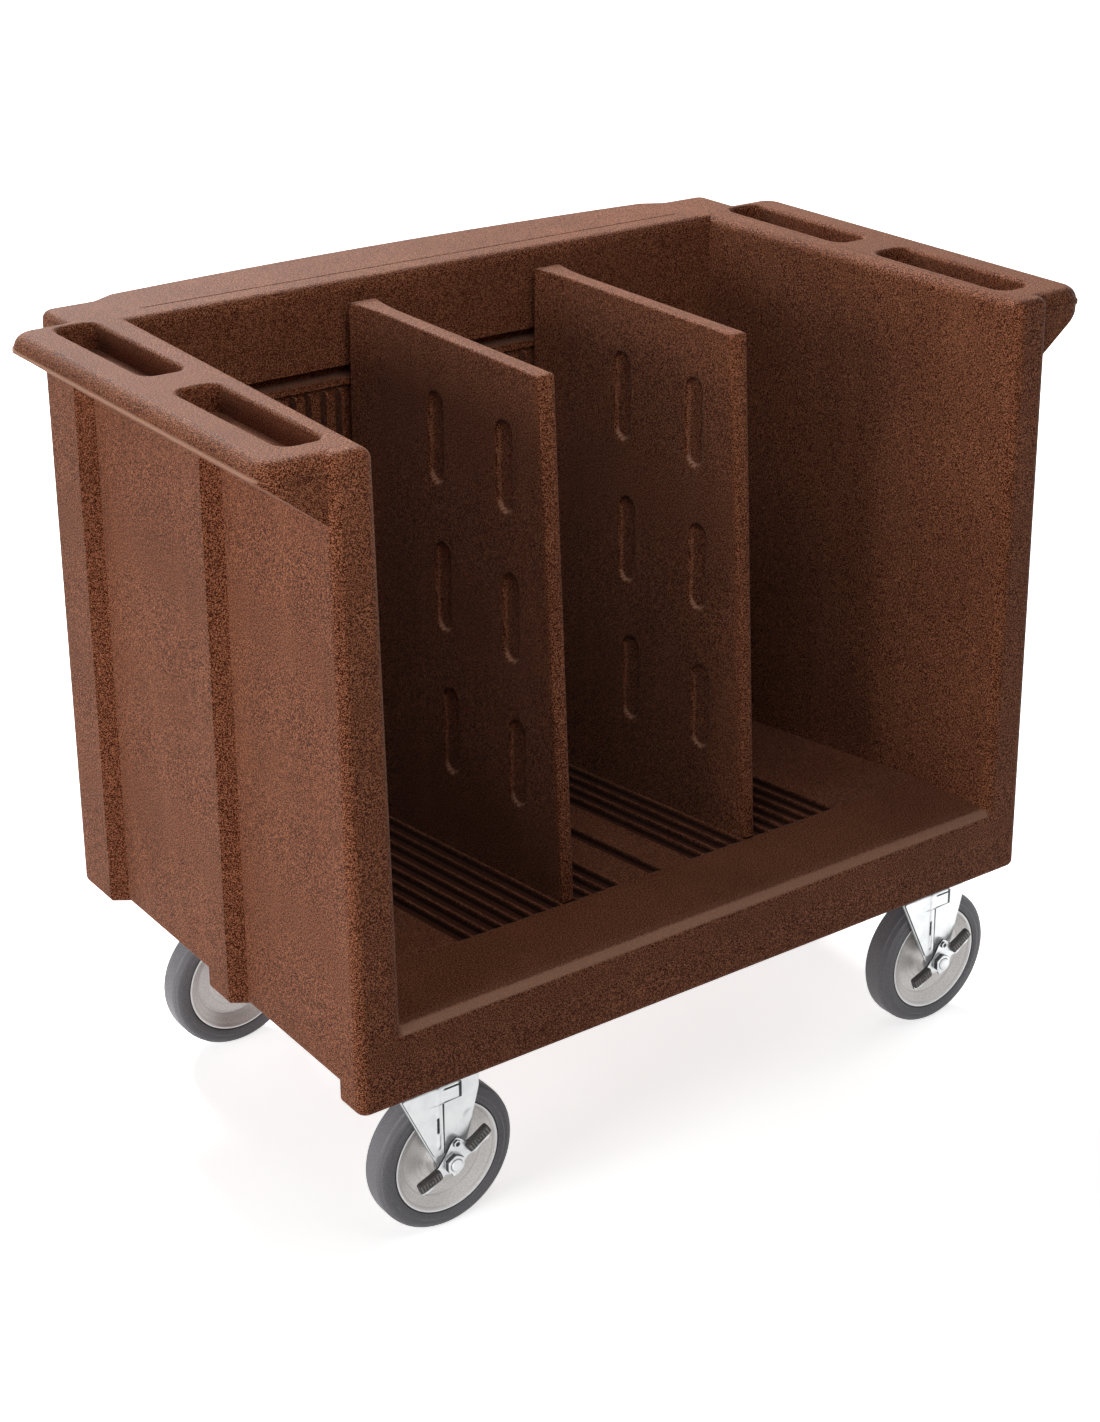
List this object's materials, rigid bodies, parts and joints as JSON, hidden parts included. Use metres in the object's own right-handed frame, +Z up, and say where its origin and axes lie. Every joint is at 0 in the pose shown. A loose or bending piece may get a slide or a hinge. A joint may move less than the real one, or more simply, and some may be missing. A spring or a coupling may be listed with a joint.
{
  "type": "plate dispenser cart",
  "caption": "Moulded cart on swivel casters, open to the front and top, with a grooved deck, lift-out dividers and hand rails, for stacks of plates or trays.",
  "frame": {"origin": "on the floor under the middle of the cart's overall box", "axes": "+X to the right along the cart's length, the open front faces -Y, +Z up"},
  "size_m": [0.956, 0.5898, 0.816],
  "materials": {
    "moulded_brown": "fine-grained moulded polyethylene",
    "zinc_steel": "bright zinc plated",
    "bearing_steel": "oiled",
    "brass_insert": "plain",
    "wheel_grey": "satin",
    "tyre_grey": "non-marking grey rubber",
    "pad_black": "ribbed"
  },
  "bodies": {
    "cart": {"cart_body": "moulded_brown", "plate_bolts": "zinc_steel", "plate_washers": "zinc_steel", "thread_inserts": "brass_insert", "plate_front_left": "zinc_steel", "kingpin_front_left": "zinc_steel", "ball_race_front_left": "bearing_steel", "plate_front_right": "zinc_steel", "kingpin_front_right": "zinc_steel", "ball_race_front_right": "bearing_steel", "plate_rear_left": "zinc_steel", "kingpin_rear_left": "zinc_steel", "ball_race_rear_left": "bearing_steel", "plate_rear_right": "zinc_steel", "kingpin_rear_right": "zinc_steel", "ball_race_rear_right": "bearing_steel"},
    "left_divider": {"divider_left": "moulded_brown"},
    "right_divider": {"divider_right": "moulded_brown"},
    "swivel_front_left": {"fork_front_left": "zinc_steel", "axle_front_left": "zinc_steel", "axle_nut_front_left": "zinc_steel"},
    "roller_front_left": {"wheel_front_left": "wheel_grey", "tyre_front_left": "tyre_grey", "bearing_front_left": "bearing_steel"},
    "swivel_front_right": {"fork_front_right": "zinc_steel", "axle_front_right": "zinc_steel", "axle_nut_front_right": "zinc_steel"},
    "roller_front_right": {"wheel_front_right": "wheel_grey", "tyre_front_right": "tyre_grey", "bearing_front_right": "bearing_steel"},
    "swivel_rear_left": {"fork_rear_left": "zinc_steel", "axle_rear_left": "zinc_steel", "axle_nut_rear_left": "zinc_steel"},
    "roller_rear_left": {"wheel_rear_left": "wheel_grey", "tyre_rear_left": "tyre_grey", "bearing_rear_left": "bearing_steel"},
    "swivel_rear_right": {"fork_rear_right": "zinc_steel", "axle_rear_right": "zinc_steel", "axle_nut_rear_right": "zinc_steel"},
    "roller_rear_right": {"wheel_rear_right": "wheel_grey", "tyre_rear_right": "tyre_grey", "bearing_rear_right": "bearing_steel"},
    "link_front_left": {"brake_link_front_left": "zinc_steel"},
    "pedal_front_left": {"brake_pedal_front_left": "zinc_steel", "pedal_pads_front_left": "pad_black"},
    "link_front_right": {"brake_link_front_right": "zinc_steel"},
    "pedal_front_right": {"brake_pedal_front_right": "zinc_steel", "pedal_pads_front_right": "pad_black"}
  },
  "joints": [
    {"name": "left_divider_lift", "type": "slide", "parent": "cart", "child": "left_divider", "axis": [0, 0, 1], "range_m": [0, 0.6]},
    {"name": "right_divider_lift", "type": "slide", "parent": "cart", "child": "right_divider", "axis": [0, 0, 1], "range_m": [0, 0.6]},
    {"name": "front_left_swivel", "type": "hinge", "parent": "cart", "child": "swivel_front_left", "pos_m": [-0.318, -0.234, 0.17], "axis": [0, 0, 1], "continuous": true},
    {"name": "front_left_wheel_spin", "type": "hinge", "parent": "swivel_front_left", "child": "roller_front_left", "pos_m": [-0.292, -0.234, 0.0762], "axis": [0, 1, 0], "continuous": true},
    {"name": "front_right_swivel", "type": "hinge", "parent": "cart", "child": "swivel_front_right", "pos_m": [0.318, -0.234, 0.17], "axis": [0, 0, 1], "continuous": true},
    {"name": "front_right_wheel_spin", "type": "hinge", "parent": "swivel_front_right", "child": "roller_front_right", "pos_m": [0.344, -0.234, 0.0762], "axis": [0, 1, 0], "continuous": true},
    {"name": "rear_left_swivel", "type": "hinge", "parent": "cart", "child": "swivel_rear_left", "pos_m": [-0.318, 0.17, 0.17], "axis": [0, 0, 1], "continuous": true},
    {"name": "rear_left_wheel_spin", "type": "hinge", "parent": "swivel_rear_left", "child": "roller_rear_left", "pos_m": [-0.292, 0.17, 0.0762], "axis": [0, 1, 0], "continuous": true},
    {"name": "rear_right_swivel", "type": "hinge", "parent": "cart", "child": "swivel_rear_right", "pos_m": [0.318, 0.17, 0.17], "axis": [0, 0, 1], "continuous": true},
    {"name": "rear_right_wheel_spin", "type": "hinge", "parent": "swivel_rear_right", "child": "roller_rear_right", "pos_m": [0.344, 0.17, 0.0762], "axis": [0, 1, 0], "continuous": true},
    {"name": "front_left_brake_pedal", "type": "hinge", "parent": "swivel_front_left", "child": "pedal_front_left", "pos_m": [-0.292, -0.234, 0.0762], "axis": [0, 1, 0], "range_deg": [0, 22]},
    {"name": "front_left_brake_shoe", "type": "slide", "parent": "swivel_front_left", "child": "link_front_left", "axis": [0, 0, -1], "range_m": [0, 0.003]},
    {"name": "front_right_brake_pedal", "type": "hinge", "parent": "swivel_front_right", "child": "pedal_front_right", "pos_m": [0.344, -0.234, 0.0762], "axis": [0, 1, 0], "range_deg": [0, 22]},
    {"name": "front_right_brake_shoe", "type": "slide", "parent": "swivel_front_right", "child": "link_front_right", "axis": [0, 0, -1], "range_m": [0, 0.003]}
  ],
  "couplings": [
    {"joint": "front_left_brake_shoe", "follows": "front_left_brake_pedal", "m_per_rad": 0.007812},
    {"joint": "front_right_brake_shoe", "follows": "front_right_brake_pedal", "m_per_rad": 0.007812}
  ]
}
